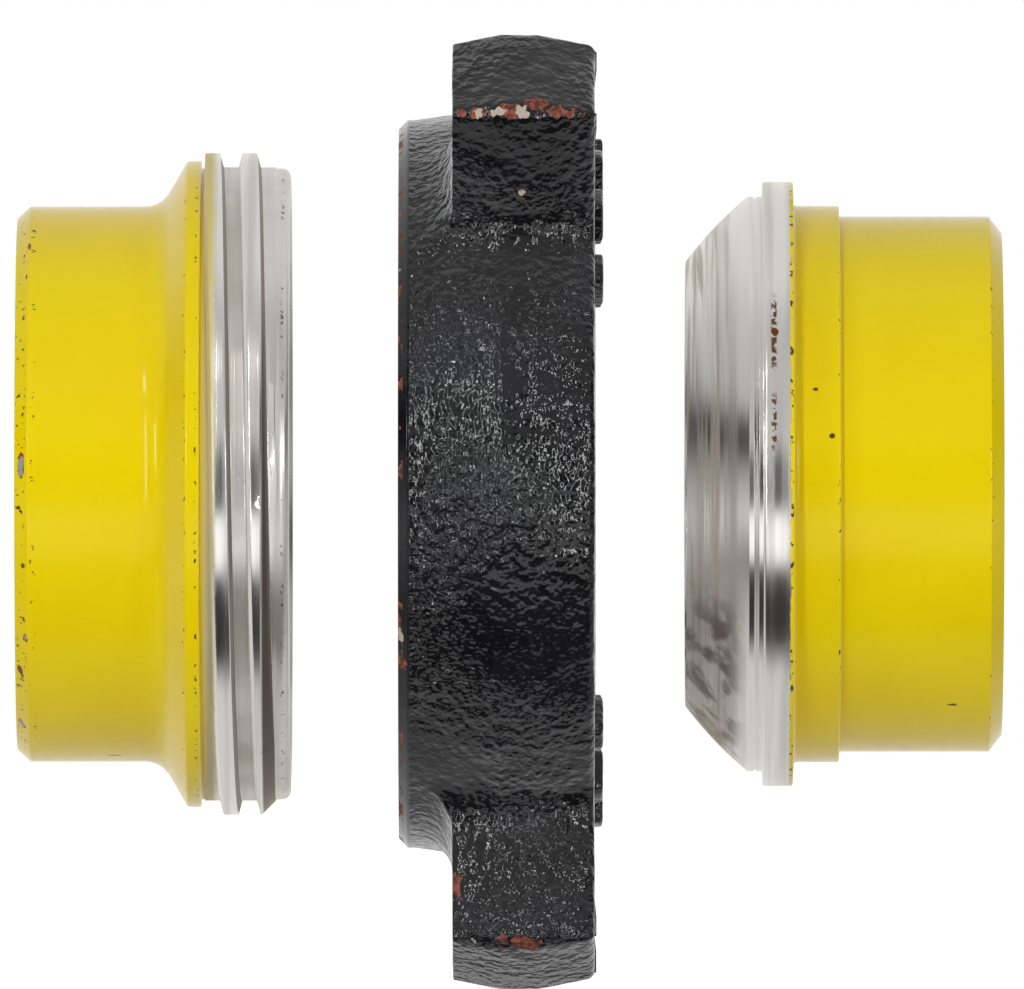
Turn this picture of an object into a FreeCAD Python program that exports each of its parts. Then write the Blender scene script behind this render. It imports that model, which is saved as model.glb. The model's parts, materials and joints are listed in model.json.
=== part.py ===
"""Wing-nut union for a 4 inch line: thread sub, three-lug wing nut and male sub, drawn pulled apart.

Millimetres and degrees. X runs along the pipe axis, Z is up. The origin is the centre of the
male sub's pipe end, whose face looks along +X, and the other two pieces follow along -X.
"""

import FreeCAD, Part
import math
import os
import re

import Sketcher

SIZES = {
    # Pipe ends, bored for a 4 inch taper pipe thread
    "pipe_hole_r": (53.98, "tap drill of the 4 inch pipe thread"),
    "pipe_hole_depth": (36.0, "threaded depth of a pipe end"),
    "pipe_mouth_rise": (2.22, "countersink of that hole's mouth across the axis"),
    "pipe_mouth_depth": (1.5, "countersink of that hole's mouth along the axis"),
    "flow_step": (5.98, "step from that hole down to the bore that the fluid runs through"),
    # Union thread, three turns to the inch
    "pitch": (8.467, "advance of the union thread in one turn"),
    "collar_room": (3.35, "male sub's collar to the root of the thread on the sub"),
    "thread_depth": (3.25, "height of the thread on the sub"),
    "crest": (3.3, "flat width of a crest on the sub"),
    "flank": (14.5, "angle of a flank from the radial direction"),
    "thread_gap": (0.4, "radial clearance of the nut's thread"),
    "flank_gap": (0.3, "clearance on each flank of the nut's thread"),
    "over_reach": (0.6, "how far a thread's cutter stands out of the wall that it cuts"),
    # Thread sub
    "sub_wall": (9.52, "wall of its barrel over the pipe's hole"),
    "sub_barrel_length": (32.9, "pipe end to the foot of the cone"),
    "sub_bevel_length": (3.0, "bevel of the pipe end along the axis"),
    "sub_bevel_depth": (2.8, "bevel of the pipe end across the axis"),
    "sub_cone": (60.0, "angle of the cone from the axis"),
    "sub_cone_blend": (6.9, "fillet between barrel and cone"),
    "sub_collar_rise": (1.45, "height of the collar over the root of the thread"),
    "sub_collar_width": (3.1, "width of the collar"),
    "sub_collar_edge": (0.7, "bevel of the collar's edge"),
    "run_out": (0.9, "width of the relief between collar and thread"),
    "run_out_drop": (0.25, "how far relief and pilot lie under the root"),
    "first_crest": (2.6, "collar to the middle of the first crest at the top"),
    "thread_span": (16.2, "relief to the foot of the chamfer that ends the thread"),
    "pilot_length": (3.4, "plain pilot at the mouth"),
    "pilot_edge": (2.4, "rounding of the pilot's edge"),
    "pilot_wall": (5.7, "wall between the pilot and the mouth of the conical seat"),
    "seat_angle": (45.0, "angle of the seat from the axis"),
    # Wing nut
    "nut_width": (44.85, "hub face to hub face"),
    "nut_bevel": (2.0, "machined bevel round the mouth face"),
    "nut_cavity": (30.85, "mouth face to shoulder"),
    "nut_relief": (6.4, "width of the thread relief at the shoulder"),
    "nut_relief_drop": (0.5, "depth of the relief past the thread"),
    "nut_mouth_rise": (1.0, "countersink of the mouth, out from the thread"),
    "eye_gap": (0.8, "clearance of the hole in the shoulder on the male sub's land"),
    "nut_eye_edge": (1.2, "bevel at both rims of that hole"),
    "parting": (23.3, "mouth face to the parting band of the forging"),
    "parting_width": (8.4, "width of the parting band"),
    "hub_wall": (10.1, "wall of the hub over the thread, on the parting band"),
    "draft": (8.0, "draft of hub and lugs on both sides of the band"),
    "lug_count": (3, "lugs round the hub"),
    "lug_rise": (33.2, "height of a lug over the hub"),
    "lug_width": (31.6, "width of a lug along the rim"),
    "lug_setback": (12.1, "mouth face to the lugs"),
    "lug_foot": (8.0, "fillet from lug to hub"),
    "lug_corner": (4.0, "corner rounding of a lug's tip"),
    "lug_sink": (8.2, "how far a lug reaches down inside the hub"),
    "lug_back_blend": (7.0, "height and length of the blend behind a lug"),
    "lug_lean": (38.0, "turn of the top lug away from upright"),
    "pad_gap": (4.1, "hole in the shoulder to the cast pads on its face"),
    "pad_height": (10.5, "size of a pad across the face"),
    "pad_width": (8.0, "size of a pad along the rim"),
    "pad_rise": (1.8, "how far a pad stands up"),
    "pad_step": (17.0, "angle from pad to pad"),
    "upper_pads": (7, "pads in the upper arc"),
    "lower_pads": (6, "pads in the lower arc"),
    # Male sub
    "male_wall": (7.22, "wall of its barrel over the pipe's hole"),
    "male_barrel_length": (37.2, "pipe end to the step"),
    "male_bevel_length": (2.9, "bevel of the pipe end along the axis"),
    "male_bevel_depth": (3.7, "bevel of the pipe end across the axis"),
    "male_land_rise": (2.4, "barrel up to the land that carries the nut"),
    "male_land_length": (10.5, "length of that land"),
    "male_collar_rise": (5.5, "that land up to the collar that the nut pulls on"),
    "male_collar_width": (6.9, "width of that collar"),
    "male_collar_edge": (0.6, "bevel of the collar's front edge"),
    "male_collar_blend": (1.0, "slope at the foot of the collar"),
    "nose_land_drop": (3.4, "collar down to the land behind the ball nose"),
    "nose_land_length": (3.4, "length of that land"),
    "nose_groove_width": (1.1, "width of the fine groove on that land"),
    "nose_groove_depth": (0.5, "depth of the fine groove"),
    "ball_r": (85.0, "radius of the ball nose, centred on the axis"),
    "nose_wall": (2.8, "wall at the tip of the nose"),
    # Layout, with the pieces pulled apart along the axis
    "sub_apart": (24.7, "thread sub to nut"),
    "male_apart": (20.7, "nut to male sub"),
}

# Radii from the pipe's hole outwards, so that every piece grows with the pipe
PIPE_MOUTH_R = "(pipe_hole_r + pipe_mouth_rise)"
FLOW_R = "(pipe_hole_r - flow_step)"
MALE_BARREL_R = "(pipe_hole_r + male_wall)"
MALE_LAND_R = f"({MALE_BARREL_R} + male_land_rise)"
MALE_COLLAR_R = f"({MALE_LAND_R} + male_collar_rise)"
NOSE_LAND_R = f"({MALE_COLLAR_R} - nose_land_drop)"
NOSE_TIP_R = f"({FLOW_R} + nose_wall)"
SUB_ROOT = f"({MALE_COLLAR_R} + collar_room)"
SUB_UNDER = f"({SUB_ROOT} - run_out_drop)"
THREAD_R = f"({SUB_ROOT} + thread_depth)"
SUB_BARREL_R = "(pipe_hole_r + sub_wall)"
SUB_COLLAR_R = f"({SUB_ROOT} + sub_collar_rise)"
SEAT_MOUTH_R = f"({SUB_UNDER} - pilot_wall)"
NUT_INNER_R = f"({SUB_ROOT} + thread_gap)"
NUT_THREAD_R = f"({THREAD_R} + thread_gap)"
NUT_RELIEF_R = f"({NUT_THREAD_R} + nut_relief_drop)"
NUT_MOUTH_R = f"({NUT_THREAD_R} + nut_mouth_rise)"
NUT_EYE_R = f"({MALE_LAND_R} + eye_gap)"
HUB_R = f"({NUT_THREAD_R} + hub_wall)"
LUG_REACH = f"({HUB_R} + lug_rise)"
LUG_INSIDE = f"({HUB_R} - lug_sink)"
PAD_R = f"({NUT_EYE_R} + pad_gap)"

WORDS = re.compile(r"[a-z_]{3,}")
NEAR = 0.01

doc = FreeCAD.newDocument("WingUnion")


def fill_sheet():
    """Write every size into its own cell of the sheet, with its name as alias and a note."""
    sheet = doc.addObject("Spreadsheet::Sheet", "Sizes")
    for row, (name, (value, note)) in enumerate(SIZES.items(), start=1):
        sheet.set(f"A{row}", name)
        sheet.set(f"B{row}", str(value))
        sheet.setAlias(f"B{row}", name)
        sheet.set(f"C{row}", note)
    doc.recompute()
    return sheet


sheet = fill_sheet()


def bound(text):
    """The expression with each size's name written as a reference to its cell."""
    return WORDS.sub(lambda m: f"Sizes.{m[0]}" if m[0] in SIZES else m[0], text)


def value(text):
    """The number that the expression gives with the sheet's present sizes."""
    return float(sheet.evalExpression(bound(text)))


def new_body(label):
    """An empty body whose label is the piece's name."""
    body = doc.addObject("PartDesign::Body", label)
    body.Label = label
    return body


def origin_plane(body, role):
    """The plane or axis of the body's own origin that has this role."""
    return next(f for f in body.Origin.OriginFeatures if f.Role == role)


def outline(body, name, corners, plane="XZ_Plane", arcs=None, lift="0"):
    """A closed sketch through the corners, each an (x, y) pair of expressions.

    arcs maps a corner's number to the (radius, direction) of the short arc that leaves it,
    with direction 1 anticlockwise. lift moves the sketch off its plane along the normal.
    """
    arcs = arcs or {}
    sketch = body.newObject("Sketcher::SketchObject", name)
    sketch.AttachmentSupport = (origin_plane(body, plane), [""])
    sketch.MapMode = "FlatFace"
    sketch.setExpression("AttachmentOffset.Base.z", bound(lift))
    spots = [FreeCAD.Vector(value(x), value(y), 0) for x, y in corners]
    count = len(corners)
    for i in range(count):
        start, end = spots[i], spots[(i + 1) % count]
        edge = arc_edge(start, end, *arcs[i]) if i in arcs else Part.LineSegment(start, end)
        sketch.addGeometry(edge, False)
    for i in range(count):
        following = (i + 1) % count
        sketch.addConstraint(Sketcher.Constraint(
            "Coincident", i, side_ends(arcs, i)[1], following, side_ends(arcs, following)[0]))
    for i in range(count):
        place_corner(sketch, i, side_ends(arcs, i)[0], spots[i], corners[i])
    for i, (radius, _) in arcs.items():
        made = sketch.addConstraint(Sketcher.Constraint("Radius", i, value(radius)))
        sketch.setExpression(f"Constraints[{made}]", bound(radius))
    return sketch


def arc_edge(start, end, radius, direction):
    """The short arc of this radius from start to end, whose centre is left of an
    anticlockwise arc's chord."""
    size = value(radius)
    chord = end - start
    rise = math.sqrt(size ** 2 - (chord.Length / 2) ** 2)
    left = FreeCAD.Vector(-chord.y, chord.x, 0) / chord.Length
    centre = (start + end) / 2 + left * rise * direction
    first, last = (start, end) if direction > 0 else (end, start)
    angles = [math.atan2(p.y - centre.y, p.x - centre.x) for p in (first, last)]
    return Part.ArcOfCircle(Part.Circle(centre, FreeCAD.Vector(0, 0, 1), size), *angles)


def side_ends(arcs, i):
    """The point numbers at which side i begins and ends: an arc is stored anticlockwise."""
    return (2, 1) if i in arcs and arcs[i][1] < 0 else (1, 2)


def place_corner(sketch, side, end, spot, texts):
    """Dimension a corner from the sketch's origin, with both distances bound to the sheet."""
    for axis, number, text, across in (("X", spot.x, texts[0], -2), ("Y", spot.y, texts[1], -1)):
        if text == "0":
            sketch.addConstraint(Sketcher.Constraint("PointOnObject", side, end, across))
            continue
        made = sketch.addConstraint(
            Sketcher.Constraint("Distance" + axis, -1, 1, side, end, number))
        sketch.setExpression(f"Constraints[{made}]", bound(text))


def turned(body, name, corners, cut=False, arcs=None):
    """Revolve an outline of (along, radius) corners about the X axis, or cut it away."""
    sketch = outline(body, name + "_profile", corners, arcs=arcs)
    kind = "PartDesign::Groove" if cut else "PartDesign::Revolution"
    feature = body.newObject(kind, name)
    feature.Profile = sketch
    feature.ReferenceAxis = (sketch, ["H_Axis"])
    feature.Angle = 360
    doc.recompute()
    return feature


def helical_cut(body, name, corners, height):
    """Cut a right-hand helical groove whose section at the top of the piece is the outline."""
    sketch = outline(body, name + "_section", corners)
    feature = body.newObject("PartDesign::SubtractiveHelix", name)
    feature.Profile = sketch
    feature.ReferenceAxis = (sketch, ["H_Axis"])
    feature.Mode = 0
    feature.setExpression("Pitch", bound("pitch"))
    feature.setExpression("Height", bound(height))
    feature.LeftHanded = False
    doc.recompute()
    return feature


def rim_edges(shape, along, radius):
    """Names of the whole circles about the X axis that lie at this place, given as expressions."""
    place, size = value(along), value(radius)
    found = []
    for number, edge in enumerate(shape.Edges, start=1):
        curve = edge.Curve
        if isinstance(curve, Part.Circle) and math.isclose(curve.Radius, size, abs_tol=NEAR):
            if math.isclose(curve.Center.x, place, abs_tol=NEAR):
                found.append(f"Edge{number}")
    return found


def finish_rim(body, kind, name, base, rim, size):
    """Fillet or chamfer the rims of the base feature at the given (along, radius)."""
    edges = rim_edges(base.Shape, *rim)
    if not edges:
        raise ValueError(f"{name}: no rim at {rim}")
    feature = body.newObject("PartDesign::" + kind, name)
    feature.Base = (base, edges)
    feature.setExpression("Radius" if kind == "Fillet" else "Size", bound(size))
    doc.recompute()
    return feature


def tangent(angle):
    """The tangent of an angle in degrees, as an expression."""
    return f"tan({angle} * 1deg)"


SUB_CONE_END = f"(sub_barrel_length + ({SUB_COLLAR_R} - {SUB_BARREL_R}) / {tangent('sub_cone')})"
SUB_COLLAR_END = f"({SUB_CONE_END} + sub_collar_width)"
SUB_CREST = f"({SUB_COLLAR_END} + first_crest)"
SUB_RUN_OUT_END = f"({SUB_COLLAR_END} + run_out)"
SUB_CHAMFER = f"({SUB_RUN_OUT_END} + thread_span)"
SUB_LENGTH = f"({SUB_CHAMFER} + pilot_length)"
SUB_SEAT_START = f"({SUB_LENGTH} - ({SEAT_MOUTH_R} - {FLOW_R}) / {tangent('seat_angle')})"


def pipe_end_bore(deep):
    """Corners of the bore from the middle of a pipe end to the flow bore, which ends at deep."""
    return [
        ("0", "0"),
        ("0", PIPE_MOUTH_R),
        ("pipe_mouth_depth", "pipe_hole_r"),
        ("pipe_hole_depth", "pipe_hole_r"),
        ("pipe_hole_depth", FLOW_R),
        (deep, FLOW_R),
    ]


def groove_section(middle, low, high, half_at_crest, widens):
    """Corners of a trapezium groove between two radii, centred at middle along the axis.

    half_at_crest is half its width at the sub's crest radius, and widens is 1 where the
    groove widens outwards, as on the sub, or -1 where it widens inwards, as in the nut.
    """
    def half(radius):
        return f"({half_at_crest} + {widens} * ({radius} - {THREAD_R}) * {tangent('flank')})"
    return [
        (f"{middle} - {half(low)}", low),
        (f"{middle} + {half(low)}", low),
        (f"{middle} + {half(high)}", high),
        (f"{middle} - {half(high)}", high),
    ]


def make_thread_sub():
    """The sub that carries the union thread outside and the conical seat inside.

    The threaded ring is cut first and the collar is added over it, so that the groove
    runs out against the collar's face as it does where a relief was turned.
    """
    body = new_body("thread_sub")
    first_groove = f"({SUB_CREST} - pitch / 2 - pitch)"
    ring = turned(body, "threaded_ring", [
        (SUB_CONE_END, "0"),
        (SUB_CONE_END, SUB_UNDER),
        (SUB_RUN_OUT_END, SUB_UNDER),
        (SUB_RUN_OUT_END, THREAD_R),
        (f"{SUB_CHAMFER} - thread_depth", THREAD_R),
        (f"{SUB_CHAMFER} + run_out_drop", SUB_UNDER),
        (SUB_LENGTH, SUB_UNDER),
        (SUB_LENGTH, "0"),
    ])
    finish_rim(body, "Fillet", "pilot_edge_round", ring, (SUB_LENGTH, SUB_UNDER), "pilot_edge")
    helical_cut(
        body, "union_thread",
        groove_section(
            first_groove, SUB_ROOT, f"({THREAD_R} + over_reach)", "(pitch - crest) / 2", 1),
        f"{SUB_LENGTH} + over_reach - {first_groove}",
    )
    barrel = turned(body, "barrel", [
        ("0", "0"),
        ("0", f"{SUB_BARREL_R} - sub_bevel_depth"),
        ("sub_bevel_length", SUB_BARREL_R),
        ("sub_barrel_length", SUB_BARREL_R),
        (SUB_CONE_END, SUB_COLLAR_R),
        (SUB_COLLAR_END, SUB_COLLAR_R),
        (SUB_COLLAR_END, "0"),
    ])
    blend = finish_rim(
        body, "Fillet", "cone_foot", barrel, ("sub_barrel_length", SUB_BARREL_R),
        "sub_cone_blend")
    finish_rim(
        body, "Chamfer", "collar_edge", blend, (SUB_CONE_END, SUB_COLLAR_R), "sub_collar_edge")
    turned(body, "bore_and_seat", pipe_end_bore(SUB_SEAT_START) + [
        (SUB_LENGTH, SEAT_MOUTH_R),
        (SUB_LENGTH, "0"),
    ], cut=True)
    place = f"-({MALE_LENGTH} + male_apart + nut_width + sub_apart + {SUB_LENGTH})"
    body.setExpression("Placement.Base.x", bound(place))
    return body


MALE_COLLAR_START = "(male_barrel_length + male_land_length)"
MALE_COLLAR_END = f"({MALE_COLLAR_START} + male_collar_width)"
NOSE_START = f"({MALE_COLLAR_END} + nose_land_length)"
BALL_CENTRE = f"({NOSE_START} - sqrt(ball_r ^ 2 - {NOSE_LAND_R} ^ 2))"
MALE_LENGTH = f"({BALL_CENTRE} + sqrt(ball_r ^ 2 - {NOSE_TIP_R} ^ 2))"


def make_male_sub():
    """The sub with the ball nose, drawn from its pipe end at the origin towards the nose."""
    body = new_body("male_sub")
    groove = f"({MALE_COLLAR_END} + nose_land_length / 2)"
    shank = turned(body, "shank_and_nose", [
        ("0", "0"),
        ("0", f"{MALE_BARREL_R} - male_bevel_depth"),
        ("male_bevel_length", MALE_BARREL_R),
        ("male_barrel_length", MALE_BARREL_R),
        ("male_barrel_length", MALE_LAND_R),
        (MALE_COLLAR_START, MALE_LAND_R),
        (MALE_COLLAR_START, MALE_COLLAR_R),
        (MALE_COLLAR_END, MALE_COLLAR_R),
        (MALE_COLLAR_END, NOSE_LAND_R),
        (f"{groove} - nose_groove_width / 2", NOSE_LAND_R),
        (groove, f"{NOSE_LAND_R} - nose_groove_depth"),
        (f"{groove} + nose_groove_width / 2", NOSE_LAND_R),
        (NOSE_START, NOSE_LAND_R),
        (MALE_LENGTH, NOSE_TIP_R),
        (MALE_LENGTH, "0"),
    ], arcs={12: ("ball_r", -1)})
    blend = finish_rim(
        body, "Chamfer", "collar_foot", shank, (MALE_COLLAR_START, MALE_LAND_R),
        "male_collar_blend")
    finish_rim(
        body, "Chamfer", "collar_edge", blend, (MALE_COLLAR_END, MALE_COLLAR_R),
        "male_collar_edge")
    turned(body, "bore", pipe_end_bore(MALE_LENGTH) + [(MALE_LENGTH, "0")], cut=True)
    body.Placement = FreeCAD.Placement(
        FreeCAD.Vector(0, 0, 0), FreeCAD.Rotation(FreeCAD.Vector(0, 0, 1), 180))
    return body


NUT_SLOPE = tangent("draft")
BAND_END = "(parting + parting_width)"

# The nut is turned by lug_lean, so its helix starts that share of a pitch further along, and
# it lines up with the crests of the thread sub at every turn.
SUB_CREST_FROM_NUT = f"({SUB_CREST} - {SUB_LENGTH} - sub_apart)"
NUT_FIRST_GROOVE = f"(mod({SUB_CREST_FROM_NUT} + lug_lean / 360 * pitch; pitch) - 2 * pitch)"


def lug_corners():
    """A lug seen along the axis: tip on +Y of the sketch, feet blended into the hub."""
    half = "(lug_width / 2)"
    foot_x = f"({half} + lug_foot)"
    foot_y = f"sqrt(({HUB_R} + lug_foot) ^ 2 - {foot_x} ^ 2)"
    on_hub = f"({HUB_R} / ({HUB_R} + lug_foot))"
    inside = f"({LUG_INSIDE} / ({HUB_R} + lug_foot))"
    right = [
        (f"{foot_x} * {inside}", f"{foot_y} * {inside}"),
        (f"{foot_x} * {on_hub}", f"{foot_y} * {on_hub}"),
        (half, foot_y),
        (half, f"({LUG_REACH} - lug_corner)"),
        (f"({half} - lug_corner)", LUG_REACH),
    ]
    left = [(f"-{x}", y) for x, y in reversed(right)]
    arcs = {1: ("lug_foot", -1), 3: ("lug_corner", 1), 5: ("lug_corner", 1), 7: ("lug_foot", -1)}
    return right + left, arcs


def lug_pad(body, name, lift, length, backwards=False, drafted=True):
    """One length of a lug, padded from the sketch at lift, with draft away from the band."""
    corners, arcs = lug_corners()
    sketch = outline(
        body, name + "_outline", corners, plane="YZ_Plane", arcs=arcs, lift=lift)
    pad = body.newObject("PartDesign::Pad", name)
    pad.Profile = sketch
    pad.setExpression("Length", bound(length))
    if drafted:
        pad.setExpression("TaperAngle", bound("-draft"))
    pad.Reversed = backwards
    doc.recompute()
    return pad


def around(body, name, features, count, angle=None, reverse=False):
    """Repeat features round the axis: a full turn, or a step of angle from one to the next."""
    pattern = body.newObject("PartDesign::PolarPattern", name)
    pattern.Originals = features
    pattern.Axis = (origin_plane(body, "X_Axis"), [""])
    pattern.setExpression("Occurrences", bound(count))
    if angle:
        pattern.setExpression("Angle", bound(f"({count} - 1) * {angle}"))
    else:
        pattern.Angle = 360
    pattern.Reversed = reverse
    body.Tip = pattern
    doc.recompute()
    return pattern


def lug_web(body, name):
    """The blend behind a lug: a short ring of concave section, as wide as the lug's face."""
    start = "(lug_setback - lug_back_blend)"
    hub_here = f"({HUB_R} - (parting - lug_setback) * {NUT_SLOPE})"
    hub_there = f"({HUB_R} - (parting - {start}) * {NUT_SLOPE})"
    inside = f"({hub_there} - lug_back_blend / 2)"
    sketch = outline(body, name + "_profile", [
        (start, inside),
        ("lug_setback", inside),
        ("lug_setback", f"{hub_here} + lug_back_blend"),
        (start, hub_there),
    ], arcs={2: ("lug_foot", -1)})
    web = body.newObject("PartDesign::Revolution", name)
    web.Profile = sketch
    web.ReferenceAxis = (sketch, ["H_Axis"])
    web.Midplane = True
    narrow = f"(lug_width / 2 - (parting - lug_setback) * {NUT_SLOPE})"
    web.setExpression("Angle", bound(f"2 * asin({narrow} / ({hub_here} + lug_back_blend))"))
    doc.recompute()
    return web


def cast_pads(body, name, count, turn):
    """An arc of plain raised pads on the shoulder face, whose middle is at turn."""
    first = f"({turn} + ({count} - 1) * pad_step / 2)"

    def corner(across, out):
        """A corner of the first pad, across its middle line and out from the axis."""
        return (
            f"({across} * cos({first} * 1deg) - {out} * sin({first} * 1deg))",
            f"({across} * sin({first} * 1deg) + {out} * cos({first} * 1deg))",
        )
    half, top = "(pad_width / 2)", f"({PAD_R} + pad_height)"
    sketch = outline(body, name + "_outline", [
        corner(f"-{half}", PAD_R),
        corner(half, PAD_R),
        corner(half, top),
        corner(f"-{half}", top),
    ], plane="YZ_Plane", lift="nut_width")
    pad = body.newObject("PartDesign::Pad", name)
    pad.Profile = sketch
    pad.setExpression("Length", bound("pad_rise"))
    pad.setExpression("TaperAngle", bound("-draft"))
    doc.recompute()
    return around(body, name + "_row", [pad], count, "pad_step", reverse=True)


def make_wing_nut():
    """The forged nut: drafted hub, three lugs, inside thread and the shoulder that pulls."""
    body = new_body("wing_nut")
    mouth_side_r = f"({HUB_R} - (parting - nut_bevel) * {NUT_SLOPE})"
    turned(body, "hub", [
        ("0", "0"),
        ("0", f"{mouth_side_r} - nut_bevel"),
        ("nut_bevel", mouth_side_r),
        ("parting", HUB_R),
        (BAND_END, HUB_R),
        ("nut_width", f"{HUB_R} - (nut_width - {BAND_END}) * {NUT_SLOPE}"),
        ("nut_width", "0"),
    ])
    pads = [
        lug_pad(body, "lug_band", "parting", "parting_width", drafted=False),
        lug_pad(body, "lug_mouth_side", "parting", "parting - lug_setback", backwards=True),
        lug_pad(body, "lug_shoulder_side", BAND_END, f"nut_width - {BAND_END}"),
        lug_web(body, "lug_back"),
    ]
    around(body, "lugs", pads, "lug_count")
    cast_pads(body, "upper_pad", "upper_pads", "-lug_lean")
    cast_pads(body, "lower_pad", "lower_pads", "180 - lug_lean")
    turned(body, "cavity", [
        ("0", "0"),
        ("0", NUT_MOUTH_R),
        (f"{NUT_MOUTH_R} - {NUT_INNER_R}", NUT_INNER_R),
        ("nut_cavity - nut_relief", NUT_INNER_R),
        ("nut_cavity - nut_relief", NUT_RELIEF_R),
        ("nut_cavity", NUT_RELIEF_R),
        ("nut_cavity", f"{NUT_EYE_R} + nut_eye_edge"),
        ("nut_cavity + nut_eye_edge", NUT_EYE_R),
        ("nut_width - nut_eye_edge", NUT_EYE_R),
        ("nut_width", f"{NUT_EYE_R} + nut_eye_edge"),
        ("nut_width", "0"),
    ], cut=True)
    helical_cut(
        body, "inside_thread",
        groove_section(
            NUT_FIRST_GROOVE, f"({NUT_INNER_R} - over_reach)", NUT_THREAD_R,
            "(crest / 2 + flank_gap)", -1),
        f"nut_cavity - nut_relief / 2 - {NUT_FIRST_GROOVE}",
    )
    body.Placement = FreeCAD.Placement(
        FreeCAD.Vector(0, 0, 0), FreeCAD.Rotation(FreeCAD.Vector(1, 0, 0), 1))
    body.setExpression("Placement.Base.x", bound(f"-({MALE_LENGTH} + male_apart + nut_width)"))
    body.setExpression("Placement.Rotation.Angle", bound("lug_lean"))
    return body


def check_document():
    """Stop if any object of the document failed to build."""
    for item in doc.Objects:
        if {"Invalid", "Error"} & set(item.State):
            raise RuntimeError(f"{item.Label} failed: {item.State}")


def write_parts(bodies):
    """Check each piece's solid and write it to its own file."""
    os.makedirs("parts", exist_ok=True)
    for body in bodies:
        shape = body.Shape
        if shape.isNull() or not shape.isValid() or len(shape.Solids) != 1:
            raise RuntimeError(f"{body.Label} is not one valid solid")
        shape.exportStep(f"parts/{body.Label}.step")
        print(body.Label, round(shape.Volume / 1000, 2), "cm3", len(shape.Faces), "faces")


pieces = [make_male_sub(), make_wing_nut(), make_thread_sub()]
doc.recompute()
check_document()
write_parts(pieces)
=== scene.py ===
"""Hammer union, pulled apart along its axis: thread sub, wing nut and male sub.

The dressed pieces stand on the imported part's frame, in metres. X runs along the pipe axis,
Z is up, and the camera looks along +Y.
"""

import bmesh
import bpy
import json
import math
import numpy as np
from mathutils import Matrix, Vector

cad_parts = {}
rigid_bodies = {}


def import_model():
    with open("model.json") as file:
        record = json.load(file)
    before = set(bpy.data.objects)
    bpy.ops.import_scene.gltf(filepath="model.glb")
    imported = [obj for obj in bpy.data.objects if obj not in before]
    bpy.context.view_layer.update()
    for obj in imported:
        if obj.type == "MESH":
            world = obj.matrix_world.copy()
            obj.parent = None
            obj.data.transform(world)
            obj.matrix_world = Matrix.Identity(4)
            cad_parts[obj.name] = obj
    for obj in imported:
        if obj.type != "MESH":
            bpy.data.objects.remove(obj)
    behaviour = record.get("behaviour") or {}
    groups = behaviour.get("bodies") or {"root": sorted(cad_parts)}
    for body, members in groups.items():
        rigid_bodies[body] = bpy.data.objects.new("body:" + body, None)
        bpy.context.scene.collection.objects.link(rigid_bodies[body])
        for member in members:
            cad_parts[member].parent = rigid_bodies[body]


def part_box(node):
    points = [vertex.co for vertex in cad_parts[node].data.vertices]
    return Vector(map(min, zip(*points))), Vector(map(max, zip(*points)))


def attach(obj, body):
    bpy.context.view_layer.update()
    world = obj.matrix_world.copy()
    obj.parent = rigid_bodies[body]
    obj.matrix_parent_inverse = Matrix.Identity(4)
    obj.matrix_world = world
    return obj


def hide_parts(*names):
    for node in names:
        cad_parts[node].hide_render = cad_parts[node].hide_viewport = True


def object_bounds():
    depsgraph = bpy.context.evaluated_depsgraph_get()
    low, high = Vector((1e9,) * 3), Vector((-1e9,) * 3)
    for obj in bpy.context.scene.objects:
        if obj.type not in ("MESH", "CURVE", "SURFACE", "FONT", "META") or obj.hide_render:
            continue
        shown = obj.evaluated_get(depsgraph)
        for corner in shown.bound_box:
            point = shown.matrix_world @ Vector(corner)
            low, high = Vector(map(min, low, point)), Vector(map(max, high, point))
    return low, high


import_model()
packed_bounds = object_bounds()


# THREAD SUB
# The box end of the union, turned from one steel billet. Its barrel, cone and collar are
# sprayed yellow, and the union thread, its pilot and the seat inside are left bare.

MM = 0.001
INCH = 25.4
COLUMNS = 384
TURN = np.linspace(0, 2 * math.pi, COLUMNS + 1)
TOP = math.pi / 2


def rounded(corners, steps=5, hold=0.25):
    """Points along an outline whose corners are rounded.

    Each corner is (along, radius, rounding). The round is the curve (1-t)^2 a + 2t(1-t) c +
    t^2 b, where c is the corner, and a and b are as far from it as an arc of that rounding
    would touch the sides. A point further out on each side holds the flat stretch flat.
    """
    spots = np.array([corner[:2] for corner in corners], float)
    runs = [spots[:1]]
    for before, here, after, corner in zip(spots, spots[1:], spots[2:], corners[1:]):
        if not corner[2]:
            runs.append(here[None])
            continue
        back, on = before - here, after - here
        room_back, room_on = np.linalg.norm(back), np.linalg.norm(on)
        back, on = back / room_back, on / room_on
        reach = corner[2] / math.tan(math.acos(np.clip(back @ on, -1, 1)) / 2)
        t = np.linspace(0, 1, steps)[:, None]
        a, b = here + back * reach, here + on * reach
        runs += [
            (a + back * min(hold, room_back / 5))[None],
            (1 - t) ** 2 * a + 2 * t * (1 - t) * here + t ** 2 * b,
            (b + on * min(hold, room_on / 5))[None],
        ]
    return np.concatenate(runs + [spots[-1:]])


def ring_rows(points, turn=TURN):
    """Rows of a plain turned stretch: every point of the outline goes once round the axis."""
    along, radius = np.array(points, float).T[:, :, None] + np.zeros(len(turn))
    return along, radius


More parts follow.
